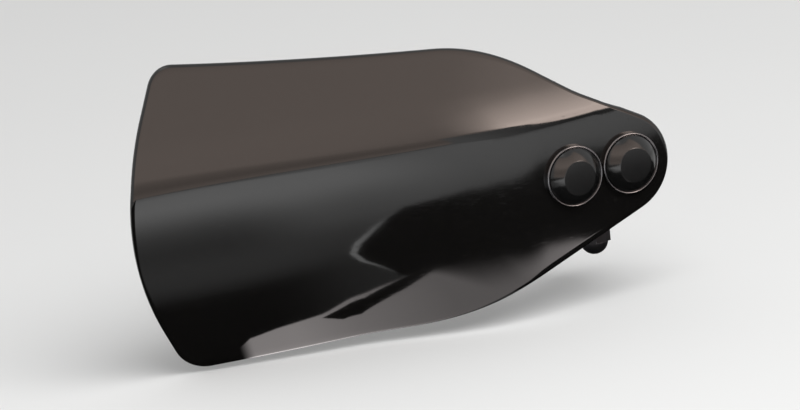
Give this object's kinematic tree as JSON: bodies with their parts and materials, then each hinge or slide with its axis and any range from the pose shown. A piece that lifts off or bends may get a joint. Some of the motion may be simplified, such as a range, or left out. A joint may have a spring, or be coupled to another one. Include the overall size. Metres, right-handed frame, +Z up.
{
  "type": "motorcycle hand guard",
  "caption": "Creased, curved gloss shell that shields the hand on a motorcycle grip, cushioned on a bent bracket that clamps under the mirror stem.",
  "frame": {"origin": "axis of the mirror stem, at the top face of the bracket foot where it seats under the control perch", "axes": "+X inboard along the handlebar, -Y forward to the road, +Z up the mirror stem"},
  "size_m": [0.2195, 0.0831, 0.1228],
  "materials": {
    "shell": "moulded gloss black",
    "bracket": "satin black powder coat",
    "cap": "moulded gloss black",
    "cap_base": "black chrome plate on moulded plastic",
    "screw": "zinc plate",
    "grommet": "matt moulded rubber",
    "plated_steel": "zinc plate",
    "nylon": "natural nylon",
    "stem_hardware": "black zinc plate"
  },
  "bodies": {
    "root": {"guard_shell": "shell", "mounting_bracket": "bracket", "outboard_cap": "cap", "outboard_cap_base": "cap_base", "outboard_screw": "screw", "outboard_grommet": "grommet", "outboard_sleeve": "plated_steel", "outboard_washer": "plated_steel", "outboard_locknut": "plated_steel", "outboard_nylon_ring": "nylon", "inboard_cap": "cap", "inboard_cap_base": "cap_base", "inboard_screw": "screw", "inboard_grommet": "grommet", "inboard_sleeve": "plated_steel", "inboard_washer": "plated_steel", "inboard_locknut": "plated_steel", "inboard_nylon_ring": "nylon", "stem_washer": "stem_hardware", "stem_lock_washer": "stem_hardware", "stem_acorn_nut": "stem_hardware"}
  },
  "joints": []
}
